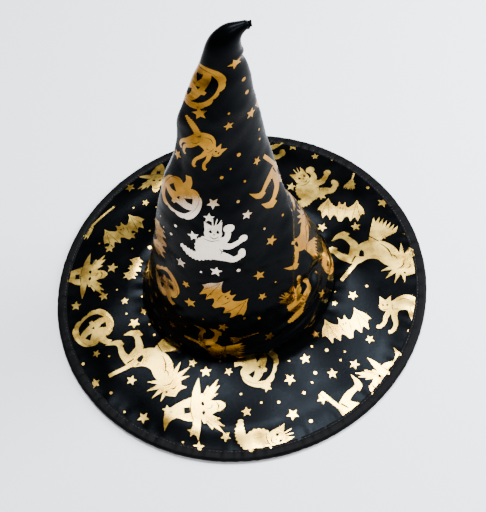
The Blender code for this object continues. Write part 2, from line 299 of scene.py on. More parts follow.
def brim_wave(x, y):
    """How far the brim's cloth stands off its padding, in metres: broad ripples that die out
    towards both edges, and the puckers of the seams there."""
    radius = np.hypot(x, y)
    oval = np.hypot(x / OPENING[0], y / OPENING[1])
    angle = np.arctan2(y, x)
    inner = smooth_step(oval, 1.0, 1.22)
    outer = 1 - smooth_step(radius, SATIN_EDGE - 0.030, SATIN_EDGE - 0.004)
    at = np.stack([x, y], -1)
    rise = 3.6 * MM * (0.5 + 0.5 * waves(at, 0.075, 21)) * inner * outer
    ring = np.stack([np.cos(angle), np.sin(angle)], -1)
    # sewing gathers both edges into small radial puckers
    sewn = np.exp(-(((SATIN_EDGE - 0.006 - radius) / 0.009) ** 2))
    rise += 0.30 * MM * sewn * (1 + waves(ring * 0.18, 0.013, 23))
    seam = np.exp(-(((oval - 1.05) / 0.10) ** 2))
    rise += 0.55 * MM * seam * (1 + waves(ring * 0.09, 0.016, 25))
    return rise


# ================================================================ the print
def oval_loop(x, y, radius_x, radius_y=None, count=20):
    radius_y = radius_y or radius_x
    turns = [2 * math.pi * i / count for i in range(count)]
    return [(x + radius_x * math.cos(a), y + radius_y * math.sin(a)) for a in turns]


def between(p0, p1, p2, p3, f):
    """A point of the smooth curve through four points, the share f of the way from p1 to p2."""
    bend = 2 * p1 + (p2 - p0) * f + (2 * p0 - 5 * p1 + 4 * p2 - p3) * f * f
    return (bend + (3 * p1 - p0 - 3 * p2 + p3) * f**3) / 2


def curve_loop(points, steps=5):
    """A closed smooth outline. A point with a third value is a sharp corner."""
    knots = []
    for p in points:
        knots += [p[:2]] * (2 if len(p) == 3 else 1)
    found = []
    for i in range(len(knots)):
        near = [np.array(knots[(i + k) % len(knots)]) for k in (-1, 0, 1, 2)]
        if not np.allclose(near[1], near[2]):
            found += [tuple(between(*near, k / steps)) for k in range(steps)]
    return found


def stroke_loop(points, widths, tooth=0.0, steps=5):
    """A stroke of changing width along a smooth open line. tooth makes its edges furry."""
    ends = [points[0], *points, points[-1]]
    middle, half = [], []
    for i in range(len(points) - 1):
        near = [np.array(p, float) for p in ends[i : i + 4]]
        for f in (k / steps for k in range(steps)):
            middle.append(between(*near, f))
            half.append((widths[i] + (widths[i + 1] - widths[i]) * f) / 2)
    middle.append(np.array(points[-1], float))
    half.append(widths[-1] / 2)
    left, right = [], []
    for i, (p, h) in enumerate(zip(middle, half)):
        run = middle[min(i + 1, len(middle) - 1)] - middle[max(i - 1, 0)]
        side = np.array((-run[1], run[0])) / max(1e-6, math.hypot(*run))
        h += tooth * (i % 2)
        left.append(tuple(p + side * h))
        right.append(tuple(p - side * h))
    return left + right[::-1]


def cut(points, width=1.6):
    """A line left black in the foil, which fades out at both its ends."""
    return stroke_loop(points, [0.6, width, 0.6])


def star():
    """A five-pointed star."""
    turns = [math.pi / 2 + math.pi * i / 5 for i in range(10)]
    reach = [50 if i % 2 == 0 else 23 for i in range(10)]
    return [[(r * math.cos(a), r * math.sin(a)) for a, r in zip(turns, reach)]], []


def dot():
    return [oval_loop(0, 0, 50, count=10)], []


def pumpkin():
    """A carved pumpkin lantern with a stem."""
    solid = [oval_loop(x, -4, 25, 40, 28) for x in (-19, 0, 19)]
    solid += [oval_loop(x, -5, 18, 33, 24) for x in (-32, 32)]
    solid.append(curve_loop([(-9, 32, 1), (-7, 42), (-14, 53, 1), (-3, 58, 1), (6, 47), (10, 33, 1)]))
    holes = [
        curve_loop([(-31, 4, 1), (-25, 17, 1), (-10, 5, 1), (-20, 2)]),
        curve_loop([(31, 4, 1), (25, 17, 1), (10, 5, 1), (20, 2)]),
        [(-4, -6), (4, -6), (0, 2)],
        curve_loop(
            [(-37, -8, 1), (-24, -14), (-10, -16, 1), (-8, -22, 1), (-1, -22, 1), (1, -16, 1)]
            + [(24, -14), (37, -8, 1), (28, -27), (10, -35), (-10, -35), (-28, -27)]
        ),
        stroke_loop([(-16, 34), (-36, 24), (-42, 0), (-37, -22)], [0.4, 1.2, 1.2, 0.4]),
        stroke_loop([(16, 34), (35, 24), (41, 2), (37, -20)], [0.4, 1.0, 1.0, 0.4]),
    ]
    return solid, holes


def bat():
    """A bat seen from the front, with its wings spread."""
    right = [(3, 19, 1), (7, 27, 1), (10, 14), (17, 13), (28, 24), (33, 34, 1), (38, 24), (47, 14)]
    right += [(54, -2, 1), (46, -4), (40, -23, 1), (32, -12), (23, -24, 1), (16, -11), (8, -16, 1)]
    right += [(4, -26, 1)]
    left = [(-p[0], *p[1:]) for p in reversed(right)]
    holes = []
    for side in (-1, 1):
        for end in ((43, -8), (26, -17)):
            holes.append(stroke_loop([(side * 33, 27), (side * end[0], end[1])], [0.7, 1.3]))
        holes.append(oval_loop(side * 3.0, 9, 1.6, 2.2, 8))
        holes.append(stroke_loop([(side * 10, 9), (side * 9, -2), (side * 6, -12)], [0.5, 1.5, 0.5]))
    return [curve_loop(right + left)], holes


def cat_arched(tail=((-24, 22), (-38, 30), (-43, 44), (-38, 56), (-46, 70))):
    """A cat that stands with its back up, facing right."""
    solid = [
        curve_loop(
            [(-28, 2), (-32, 18), (-24, 33), (-8, 40), (8, 36), (20, 27), (30, 22), (30, 6), (20, 1)]
            + [(6, 6), (-8, 6), (-18, 0)]
        ),
        oval_loop(35, 16, 13.5, 12),
        [(25, 20), (24, 38), (36, 27)],
        [(35, 27), (46, 37), (47, 19)],
        stroke_loop([(-24, 12), (-28, -8), (-33, -22), (-29, -38), (-20, -41)], [19, 13, 8, 7, 6]),
        stroke_loop([(-16, 8), (-16, -8), (-20, -24), (-13, -38), (-4, -40)], [18, 12, 8, 7, 6]),
        stroke_loop([(18, 10), (20, -8), (18, -26), (25, -40), (33, -42)], [17, 11, 8, 7, 6]),
        stroke_loop([(26, 6), (36, -8), (40, -22), (49, -30), (55, -29)], [12, 9, 7, 7, 6]),
        stroke_loop(tail, [12, 11, 10, 9, 3], 1.6),
    ]
    holes = [
        curve_loop([(29, 17, 1), (33, 20), (35, 16, 1), (32, 15)]),
        curve_loop([(38, 17, 1), (41, 20), (43, 15, 1), (40, 15)]),
        cut([(31, 9), (36, 6), (42, 9)], 1.8),
        cut([(-14, 27), (-2, 32), (10, 28)]),
        cut([(22, 20), (23, 12), (21, 3)], 1.8),
        cut([(-12, 14), (-14, 4), (-22, -4)]),
    ]
    return solid, holes


def cat_stretching():
    """The same cat with its tail stretched out behind it."""
    return cat_arched(((-24, 20), (-38, 25), (-50, 28), (-62, 30), (-76, 31)))


def cat_playing():
    """A fluffy cat that sits with its tail out and bats at the air to its right."""
    coat = [(23 + 1.8 * (i % 2), 2 * math.pi * i / 40) for i in range(40)]
    solid = [
        [(-8 + r * math.cos(a), -4 + r * math.sin(a)) for r, a in coat],
        oval_loop(-1, 25, 15, 13.5),
        [(-15, 28), (-17, 45), (-3, 37)],
        [(2, 38), (13, 45), (13, 27)],
        stroke_loop([(4, 10), (24, 0), (36, 2), (49, 9)], [20, 12, 9, 8]),
        oval_loop(51, 11, 7.5, 6, 14),
        stroke_loop([(8, 8), (22, 16), (24, 28)], [18, 11, 9]),
        oval_loop(25, 33, 9.5, 7, 14),
        stroke_loop([(2, -16), (20, -21), (34, -27), (46, -22)], [22, 16, 11, 9]),
        oval_loop(49, -17, 6.5, 9, 14),
        stroke_loop([(-12, -19), (-28, -23), (-42, -20), (-60, -11)], [14, 14, 12, 3], 2.2, 6),
    ]
    for a in (62, 78, 95):
        c, s = math.cos(math.radians(a)), math.sin(math.radians(a))
        ends = [(-1 + 14 * c, 25 + 13 * s), (-1 + 27 * c, 25 + 26 * s)]
        solid.append(stroke_loop(ends, [2.2, 1.2]))
    holes = [
        curve_loop([(-9, 27, 1), (-5, 31), (-2, 26, 1), (-5, 25)]),
        curve_loop([(4, 27, 1), (7, 31), (10, 26, 1), (7, 25)]),
        [(-1, 24), (3, 24), (1, 21)],
        cut([(-7, 20), (1, 15), (9, 20)], 2.0),
        cut([(-17, 14), (-3, 10), (11, 14)], 1.7),
        cut([(10, -4), (15, -10), (12, -16)], 2.0),
    ]
    return [[[(x, 1.14 * y) for x, y in loop] for loop in loops] for loops in (solid, holes)]


def broom_parts():
    """A besom broom along x, its brush at the left: the brush and the stick."""
    brush = [(-16, -5), (-30, -11), (-47, -17)]
    for k in range(6):
        brush += [(-43, -11.5 + 4.6 * k), (-53, -11.5 + 5.2 * k)]
    brush += [(-44, 17), (-28, 9), (-16, 4)]
    return brush, stroke_loop([(-20, 0), (16, 0), (50, -3)], [4.6, 4.6, 4.6])


def broom():
    cuts = [stroke_loop([(-27, y / 3), (-41, y)], [1.0, 1.6]) for y in (-7, 1, 9)]
    return [*broom_parts()], cuts + [stroke_loop([(-21, -7), (-21, 7)], [1.4, 1.4])]


def witch():
    """A witch who flies sidesaddle on a broom, bent over it, with her hair on end."""
    brush, handle = broom_parts()
    solid = [brush, handle]
    solid += [
        curve_loop(
            [(24, -8, 1), (12, -12), (-4, -11), (-16, -4), (-23, 8), (-25, 22), (-21, 34), (-12, 42)]
            + [(0, 40), (3, 28), (2, 18), (8, 9), (18, 4), (25, 0, 1)]
        ),
        stroke_loop([(20, -6), (22, -20), (19, -34)], [11, 8, 4.5]),
        curve_loop([(14, -31, 1), (23, -30, 1), (24, -36), (35, -43, 1), (22, -42), (15, -38, 1)]),
        stroke_loop([(14, -8), (1, -15), (-3, -24), (-5, -33)], [13, 10, 8, 5]),
        curve_loop([(-12, -30, 1), (-1, -30, 1), (0, -36), (9, -43, 1), (-2, -43), (-11, -38, 1)]),
        oval_loop(-9, 49, 13, 12, 20),
        curve_loop([(-18, 54, 1), (-24, 63, 1), (-14, 62), (-6, 66, 1), (3, 58), (4, 50, 1)]),
    ]
    tips = ((-34, 30), (-40, 42), (-34, 52), (14, 30), (20, 40), (19, 52), (12, 62))
    for x, y in tips:
        out = np.array((x + 9, y - 46), float)
        side = np.array((-out[1], out[0])) / np.hypot(*out) * 5.5
        solid.append([(-9 + side[0], 46 + side[1]), (x, y), (-9 - side[0], 46 - side[1])])
    holes = [
        curve_loop([(2, -1, 1), (8, 3), (11, -2), (6, -5), (1, -5, 1)]),
        cut([(-19, 10), (-17, 22), (-10, 32)], 2.0),
        stroke_loop([(13, -6), (23, -5)], [1.6, 2.2]),
        cut([(-15, 45), (-8, 48), (0, 45)]),
        cut([(-14, 54), (-10, 56), (-6, 54)], 1.8),
        oval_loop(0, 55, 1.6, count=8),
        cut([(-12, 38), (-14, 33), (-12, 28)], 1.5),
        stroke_loop([(-21, -8), (-21, 6)], [1.4, 1.4]),
    ]
    return solid, holes


def witch_head():
    """An old witch's face under a bent pointed hat, with her hair loose at both sides."""
    solid = [
        curve_loop(
            [(-52, 8, 1), (-30, 13), (0, 12), (30, 9), (54, -3, 1), (30, -3), (0, -1), (-30, 2)]
        ),
        curve_loop(
            [(-20, 9, 1), (-17, 24), (-10, 37), (-14, 50), (-28, 60, 1), (-6, 59), (8, 47), (17, 29)]
            + [(23, 8, 1)]
        ),
        curve_loop(
            [(-14, 3), (-16, -12), (-9, -23), (-7, -34), (1, -41), (9, -34), (11, -22), (16, -10)]
            + [(14, 3)]
        ),
    ]
    for side in (-1, 1):
        lock = [(12, 2), (26, -4), (25, -8), (38, -16), (33, -18), (47, -34), (33, -27), (36, -36)]
        lock += [(22, -24), (22, -31), (12, -16)]
        solid.append([(side * x, y) for x, y in lock])
    holes = [
        curve_loop([(-12, -5, 1), (-7, -2), (-2, -6, 1), (-7, -8)]),
        curve_loop([(4, -6, 1), (9, -2), (13, -5, 1), (9, -8)]),
        stroke_loop([(1, -8), (-1, -17), (5, -20)], [0.6, 1.3, 1.6]),
        cut([(-6, -27), (1, -30), (9, -26)], 2.4),
        stroke_loop([(-20, 12), (0, 15), (23, 12)], [0.8, 1.8, 0.8]),
        stroke_loop([(-22, -8), (-33, -18)], [1.6, 0.6]),
        stroke_loop([(22, -8), (33, -18)], [1.6, 0.6]),
        [(-5, 16), (6, 16), (6, 26), (-5, 26)],
    ]
    return solid, holes


MOTIFS = {
    shape.__name__: shape()
    for shape in (
        star, dot, pumpkin, bat, cat_arched, cat_stretching, cat_playing, broom, witch, witch_head
    )
}

# Big motifs on the brim: name, x and y in mm, size in mm, turn in degrees. A negative size is
# the motif's mirror image.
BRIM_MOTIFS = (
    ("witch_head", -63, 150, 43, -17),
    ("witch_head", -153, 46, 52, 80),
    ("witch_head", -62, -128, 60, 86),
    ("bat", -108, 92, 47, 24),
    ("bat", 122, 56, 46, -20),
    ("bat", 94, -77, 48, 10),
    ("pumpkin", -153, -18, 43, -150),
    ("pumpkin", 1, -98, 42, 62),
    ("witch", -106, -62, 80, -160),
    ("witch", 134, 2, 84, -136),
    ("cat_playing", 97, 94, 52, 20),
    ("cat_playing", -11, -177, 54, -75),
    ("cat_arched", 153, -75, -50, -12),
    ("witch", 79, -170, 80, 132),
    ("witch_head", 116, -136, 48, -57),
    ("broom", -135, 113, 49, 37),
    ("cat_playing", 55, 160, 50, -5),
    ("bat", -103, 42, 26, 60),
    ("pumpkin", 12, 118, 40, 25),
    ("bat", -20, 158, 44, 150),
    ("broom", 146, 98, 36, 60),
)
# Stars on the brim: x and y in mm.
BRIM_STARS = (
    (92, 154), (112, 134), (78, 100), (107, 80), (140, 86), (167, 56), (182, 12), (98, 42),
    (132, 34), (181, -11), (155, 15), (179, -31), (63, -78), (113, -95), (47, -102), (69, -122),
    (28, -119), (92, -117), (5, -121), (-19, -141), (23, -154), (54, -145), (-43, -161),
    (-94, 147), (-80, 123), (-101, 84), (-126, 74), (-126, 49), (-111, 35), (-139, 17),
    (-118, 6), (-169, 14), (-154, -46), (-112, -21), (-100, -10), (-123, -83), (-159, -77),
    (-93, -122), (-117, -124), (-72, -149), (-70, -165), (-61, -79), (-50, -91), (-28, -96),
)
# Stars on the crown: u, and s in mm.
CROWN_STARS = (
    (0.606, 342), (0.375, 299), (0.533, 284), (0.669, 283), (0.286, 247), (0.642, 232),
    (0.461, 206), (0.447, 191), (0.40, 169), (0.564, 185), (0.608, 142), (0.361, 129),
    (0.453, 127), (0.55, 110), (0.378, 105), (0.389, 83), (0.542, 84), (0.35, 39),
    (0.453, 55), (0.533, 31),
)
# Big motifs on the crown: name, u, s in mm, size in mm, turn from upright in degrees.
CROWN_MOTIFS = (
    ("pumpkin", 0.305, 322, 38, 75),
    ("cat_stretching", 0.395, 265, 39, -44),
    ("witch", 0.735, 192, -80, -75),
    ("pumpkin", 0.34, 207, 46, -20),
    ("cat_playing", 0.455, 159, 54, -5),
    ("bat", 0.46, 90, 50, -50),
    ("pumpkin", 0.32, 88, 40, -145),
    ("bat", 0.275, 135, 46, 92),
    ("witch", 0.43, 27, 58, 172),
    ("broom", 0.49, 39, 26, 11),
    ("witch", 0.685, 98, -62, -65),
    ("cat_playing", 0.605, 56, 40, 35),
    ("pumpkin", 0.73, 40, 38, 30),
    ("witch_head", 0.22, 60, 44, 20),
    ("witch_head", 0.80, 130, 44, -30),
    ("cat_arched", 0.84, 55, 46, 15),
    ("bat", 0.86, 175, 44, 35),
    ("witch", 0.93, 95, 56, 10),
    ("pumpkin", 0.90, 30, 40, 160),
    ("cat_playing", 0.91, 190, 46, -25),
    ("bat", 0.05, 45, 46, 170),
    ("pumpkin", 0.08, 120, 42, 40),
    ("witch", 0.16, 150, 54, -35),
    ("cat_playing", 0.15, 45, -48, 10),
    ("bat", 0.02, 200, 42, -20),
    ("witch_head", 0.12, 230, 42, 15),
    ("pumpkin", 0.86, 250, 36, -40),
    ("bat", 0.80, 290, 30, 60),
    ("cat_arched", 0.98, 275, 36, 20),
)


def placed(loops, x, y, size, turn):
    scale, c, s = size * MM / 100, math.cos(math.radians(turn)), math.sin(math.radians(turn))
    found = []
    for loop in loops:
        p = np.array(loop, float) * (scale, abs(scale))
        found.append(p @ np.array([[c, s], [-s, c]]) + (x, y))
    return found


def whole_print(big, stars, box, inside, seed):
    """The big motifs, the given stars, and stars and dots in what room is left, each as (name, x,
    y, size, turn) with x and y in metres and the size in mm."""
    taken = [circle for motif in big for circle in motif_reach(*motif)]
    draw = random.Random(seed)
    low, high = box
    room = np.full((12000, 3), 9.0)  # circles as x, y and radius; the unused ones are far away
    room[: len(taken)] = taken
    count, found = len(taken), []
    given = slice(count, count + len(stars))
    for x, y in stars:
        size = draw.choice((8.5, 10.5, 11.5, 12))
        found.append(("star", x, y, size, draw.uniform(0, 72)))
        room[count] = (x, y, 2 * size * MM)
        count += 1
    for kind, tries, sizes, gap in (
        ("star", 1500, (7.5, 11.5), PRINT_GAP),
        ("star", 500, (5.5, 6.5), 0.7 * PRINT_GAP),
        ("dot", 900, (2.8, 3.8), 0.85 * PRINT_GAP),
        ("dot", 900, (1.6, 2.4), 0.68 * PRINT_GAP),
    ):
        if kind == "dot":  # dots come closer to the given stars
            room[given, 2] = 5 * MM
        for _ in range(tries):
            x, y = draw.uniform(low[0], high[0]), draw.uniform(low[1], high[1])
            size, turn = draw.uniform(*sizes), draw.uniform(0, 72)
            if not inside(x, y):
                continue
            clear = np.hypot(room[:count, 0] - x, room[:count, 1] - y) - room[:count, 2]
            if clear.min() > (gap + size / 2) * MM:
                found.append((kind, x, y, size, turn))
                room[count] = (x, y, size * MM / 2)
                count += 1
    return big + found


def motif_reach(name, x, y, size, turn):
    """Circles that cover a big motif, so that stars keep clear of it."""
    solid, _ = MOTIFS[name]
    circles = []
    for loop in placed(solid, x, y, size, turn):
        for i in range(0, len(loop), max(1, len(loop) // 5)):
            circles.append((*loop[i], 2.5 * MM))
        circles.append((*loop.mean(0), min(np.ptp(loop, axis=0)) / 2.2))
    return circles


def winding(loop, x, y):
    """How often a closed outline goes round each point: not 0 is inside it."""
    turns = np.zeros(len(x), int)
    for (ax, ay), (bx, by) in zip(loop, np.roll(loop, -1, axis=0)):
        left = (bx - ax) * (y - ay) - (by - ay) * (x - ax)
        turns += ((ay <= y) & (by > y) & (left > 0)).astype(int)
        turns -= ((ay > y) & (by <= y) & (left < 0)).astype(int)
    return turns


def print_sheet(edges_of_cloth, grid, motifs):
    """Triangulates a flat piece of cloth so that each printed outline is a line of its mesh.
    Returns its points, its triangles, and which triangles are printed."""
    points, edges = [], []

    def add_loop(loop):
        start, count = len(points), len(loop)
        points.extend(Vector((float(x), float(y))) for x, y in loop)
        edges.extend((start + i, start + (i + 1) % count) for i in range(count))

    for loop in edges_of_cloth:
        add_loop(loop)
    drawn = []
    for name, x, y, size, turn in motifs:
        solid, holes = (placed(loops, x, y, size, turn) for loops in MOTIFS[name])
        drawn.append((solid, holes))
        for loop in solid + holes:
            add_loop(loop)
    tree = KDTree(len(points))
    for i, p in enumerate(points):
        tree.insert((p.x, p.y, 0), i)
    tree.balance()
    for x, y in grid:  # keeps the mesh's own points off the outlines
        if tree.find((x, y, 0))[2] > 0.45 * MM:
            points.append(Vector((float(x), float(y))))
    found = delaunay_2d_cdt(points, edges, [], 0, 2e-6, True)
    flat = np.array([(v.x, v.y) for v in found[0]])
    faces = np.array(found[2])
    middle = flat[faces].mean(1)
    cloth = np.zeros(len(faces), int)
    for loop in edges_of_cloth:
        cloth += winding(np.array(loop), *middle.T)
    faces, middle = faces[cloth % 2 != 0], middle[cloth % 2 != 0]
    printed = np.zeros(len(faces), bool)
    for solid, holes in drawn:
        every = np.concatenate(solid)
        near = np.nonzero(((middle > every.min(0)) & (middle < every.max(0))).all(1))[0]
        gold = np.zeros(len(near), bool)
        for loop in solid:
            gold |= winding(loop, *middle[near].T) != 0
        for loop in holes:
            gold &= winding(loop, *middle[near].T) == 0
        printed[near] |= gold
    used, faces = np.unique(faces, return_inverse=True)
    return flat[used], faces.reshape(-1, 3), printed


def lattice(low, high, spacing):
    """Points of a triangular lattice over a box."""
    found = []
    row_step = spacing * math.sqrt(3) / 2
    for j in range(int((high[1] - low[1]) / row_step) + 1):
        y = low[1] + j * row_step
        for i in range(int((high[0] - low[0]) / spacing) + 1):
            found.append((low[0] + (i + 0.5 * (j % 2)) * spacing, y))
    return np.array(found)


# ================================================================ meshes
def put(name, data):
    """Adds an object to the scene."""
    obj = bpy.data.objects.new(name, data)
    bpy.context.scene.collection.objects.link(obj)
    return obj


def new_object(name, mesh, look):
    obj = put(name, mesh)
    mesh.materials.append(look)
    for polygon in mesh.polygons:
        polygon.use_smooth = True
    return obj


def read(items, key, kind, width=1):
    """One value, or a row of values, for each item of a mesh."""
    values = np.empty(len(items) * width, kind)
    items.foreach_get(key, values)
    return values.reshape(-1, width) if width > 1 else values


def mesh_of(name, points, faces, flat=None):
    """A mesh, with the cloth's flat coordinates in metres as its UV map where they are known."""
    mesh = bpy.data.meshes.new(name)
    mesh.from_pydata([tuple(p) for p in points], [], [tuple(f) for f in faces])
    if flat is not None:
        corner = read(mesh.loops, "vertex_index", np.int32)
        layer = mesh.uv_layers.new(name="cloth")
        layer.data.foreach_set("uv", np.asarray(flat, np.float32)[corner].ravel())
    return mesh


def reworked(mesh, work):
    """The mesh after a bmesh step."""
    build = bmesh.new()
    build.from_mesh(mesh)
    work(build)
    build.to_mesh(mesh)
    build.free()
    return mesh


def thicken(obj, thickness, offset=-1.0):
    """Gives a sheet its thickness, inwards unless offset says otherwise."""
    solidify = obj.modifiers.new("thickness", "SOLIDIFY")
    solidify.thickness = thickness
    solidify.offset = offset
    graph = bpy.context.evaluated_depsgraph_get()
    made = bpy.data.meshes.new_from_object(obj.evaluated_get(graph))
    obj.modifiers.clear()
    obj.data = made
    return obj


def cloth_piece(name, points, faces, flat, look, thickness, offset=-1.0):
    """An object made of a sheet of cloth with its thickness."""
    mesh = mesh_of(name, points, faces, flat)
    return thicken(new_object(name, mesh, look), thickness, offset)


def printed_pair(mesh, printed, foil_name, foil_look, sewn=False):
    """The printed satin, and its foil: a copy of the printed triangles, lifted off the cloth and
    given a thickness. sewn joins points that lie on each other, the back seam's two edges."""
    mesh.attributes.new("printed", "BOOLEAN", "FACE").data.foreach_set("value", printed)
    if sewn:
        reworked(mesh, lambda b: bmesh.ops.remove_doubles(b, verts=b.verts, dist=0.01 * MM))
    satin = new_object(mesh.name, mesh, SATIN_BLACK)
    printed = read(mesh.attributes["printed"].data, "value", bool)
    mesh.attributes.remove(mesh.attributes["printed"])
    lifted = read(mesh.vertices, "co", np.float32, 3)
    lifted = lifted + read(mesh.vertices, "normal", np.float32, 3) * FOIL_LIFT
    corners = read(mesh.loops, "vertex_index", np.int32).reshape(-1, 3)[printed]
    flat = read(mesh.uv_layers["cloth"].data, "uv", np.float32, 2).reshape(-1, 3, 2)[printed]
    used, faces = np.unique(corners, return_inverse=True)
    faces = faces.reshape(-1, 3)
    own_flat = np.zeros((len(used), 2), np.float32)
    own_flat[faces.ravel()] = flat.reshape(-1, 2)
    foil = cloth_piece(foil_name, lifted[used], faces, own_flat, foil_look, FOIL)
    foil.data.set_sharp_from_angle(angle=math.radians(50))
    return thicken(satin, SATIN), foil


def grid_faces(rows, columns, closed=False, tube=False):
    """Quads of a grid whose points run along each row. closed joins each row's ends, and tube
    joins the last row to the first."""
    found = []
    for r in range(rows if tube else rows - 1):
        this, following = r * columns, (r + 1) % rows * columns
        for c in range(columns if closed else columns - 1):
            d = (c + 1) % columns
            found.append((this + c, this + d, following + d, following + c))
    return found


def stitches(name, line, look, thread=0.28 * MM, stitch=2.6 * MM, gap=0.9 * MM, sink=0.3):
    """Lock stitches along a line of (point, outward normal), each a short thread that dips into
    the cloth at both ends."""
    points, normals = (np.array(rows) for rows in zip(*line))
    run = np.concatenate([[0], np.cumsum(np.linalg.norm(np.diff(points, axis=0), axis=1))])
    count = int(run[-1] / (stitch + gap))
    rings, sides = 5, 6
    ring_faces = grid_faces(rings, sides, closed=True)
    ring_faces += [tuple(reversed(range(sides))), tuple(range((rings - 1) * sides, rings * sides))]
    vertices, faces = [], []
    for k in range(count):
        start = (k + 0.5) * run[-1] / count - stitch / 2
        faces += [tuple(len(vertices) + v for v in face) for face in ring_faces]
        at = [start + stitch * j / (rings - 1) for j in range(rings)]
        middle, out = (
            np.stack([np.interp(at, run, column) for column in rows.T], -1)
            for rows in (points, normals)
        )
        along = middle[-1] - middle[0]
        along /= np.linalg.norm(along)
        for j, (m, n) in enumerate(zip(middle, out)):
            f = j / (rings - 1) * 2 - 1
            swell = math.sqrt(max(0.06, 1 - f**4))
            centre = m + n * thread * (0.5 * swell - sink - 0.6 * f**4)
            side = np.cross(n, along)
            for i in range(sides):
                a = 2 * math.pi * i / sides
                turned = side * math.cos(a) + n * math.sin(a)
                vertices.append(centre + turned * thread / 2 * swell)
    return new_object(name, mesh_of(name, vertices, faces), look)


# ================================================================ materials
class Nodes:
    """A material's node tree, and short ways to add to it."""

    def __init__(self, name, **constants):
        self.material = bpy.data.materials.new(name)
        self.material.use_nodes = True
        self.tree = self.material.node_tree
        self.shader = self.tree.nodes["Principled BSDF"]
        for socket, value in constants.items():
            self.link(socket.replace("_", " "), value)

    def feed(self, socket, value):
        """Links another node's output to a socket, or gives the socket a constant."""
        if isinstance(value, bpy.types.NodeSocket):
            self.tree.links.new(value, socket)
        else:
            socket.default_value = value

    def link(self, socket, value):
        self.feed(self.shader.inputs[socket], value)

    def add(self, kind, **settings):
        """A new node, with its own settings and those of its sockets."""
        node = self.tree.nodes.new(kind)
        for name, value in settings.items():
            if hasattr(node, name):
                setattr(node, name, value)
            else:
                self.feed(node.inputs[name.replace("_", " ")], value)
        return node

    def cloth(self, turn=0.0, scale=(1, 1, 1)):
        """The cloth's own flat coordinates in metres, turned and times scale."""
        uv = self.add("ShaderNodeUVMap", uv_map="cloth").outputs["UV"]
        turned = self.add("ShaderNodeMapping", Vector=uv, Scale=scale, Rotation=(0, 0, turn))
        return turned.outputs["Vector"]

    def place(self):
        return self.add("ShaderNodeTexCoord").outputs["Object"]

    def noise(self, vector, scale, detail=3.0, roughness=0.5):
        settings = {"Scale": scale, "Detail": detail, "Roughness": roughness}
        return self.add("ShaderNodeTexNoise", Vector=vector, **settings).outputs["Fac"]

    def ribs(self, scale, vector, **settings):
        return self.add("ShaderNodeTexWave", Vector=vector, Scale=scale, **settings).outputs["Fac"]

    def spread(self, value, low, high, to_low=0.0, to_high=1.0):
        """Stretches the values from low to high over a new span."""
        ends = {"From_Min": low, "From_Max": high, "To_Min": to_low, "To_Max": to_high}
        return self.add("ShaderNodeMapRange", Value=value, **ends).outputs["Result"]

    def maths(self, operation, a, b):
        node = self.add("ShaderNodeMath", operation=operation)
        self.feed(node.inputs[0], a)
        self.feed(node.inputs[1], b)
        return node.outputs[0]

    def times(self, a, b):
        return self.maths("MULTIPLY", a, b)

    def plus(self, a, b):
        return self.maths("ADD", a, b)

    def mix(self, share, first, second):
        """Blends two colours, each another node's output or (red, green, blue)."""
        node = self.add("ShaderNodeMix", data_type="RGBA")
        for name, value in (("Factor", share), ("A", first), ("B", second)):
            socket = next(i for i in node.inputs if i.name == name and i.enabled)
            self.feed(socket, (*value, 1) if isinstance(value, tuple) else value)
        return next(o for o in node.outputs if o.enabled)

    def bump(self, height, distance, strength, after=None):
        settings = {"Height": height, "Distance": distance, "Strength": strength}
        if after is not None:
            settings["Normal"] = after
        return self.add("ShaderNodeBump", **settings).outputs["Normal"]

    def relief(self, *settings):
        self.link("Normal", self.bump(*settings))

    def surface(self, value, dark, light, span, smooth, rough):
        """Varies the colour and the roughness with one pattern."""
        self.link("Base Color", self.mix(self.spread(value, *span), dark, light))
        self.link("Roughness", self.spread(value, 0.3, 0.7, smooth, rough))


def satin_look(name, dark, light, rough):
    """Black satin: long floats across a fine weave, faint slubs, and lint that dulls it a little."""
    m = Nodes(
        name,
        Specular_IOR_Level=0.025,
        Specular_Tint=(0.70, 0.84, 1.0, 1),
        Sheen_Weight=0.001,
        Sheen_Roughness=0.4,
        Sheen_Tint=(0.55, 0.65, 0.85, 1),
    )
    warp = m.ribs(1150.0, m.cloth(math.radians(28)), Distortion=1.2, Detail=1.0)
    slub = m.noise(m.cloth(scale=(60, 900, 1)), 1.0, 2.0)
    m.surface(m.noise(m.cloth(), 38.0, 4.0), dark, light, (0.35, 0.7), rough - 0.05, rough + 0.07)
    m.relief(slub, 0.05 * MM, 0.35, m.bump(warp, 0.02 * MM, 0.35))
    return m.material


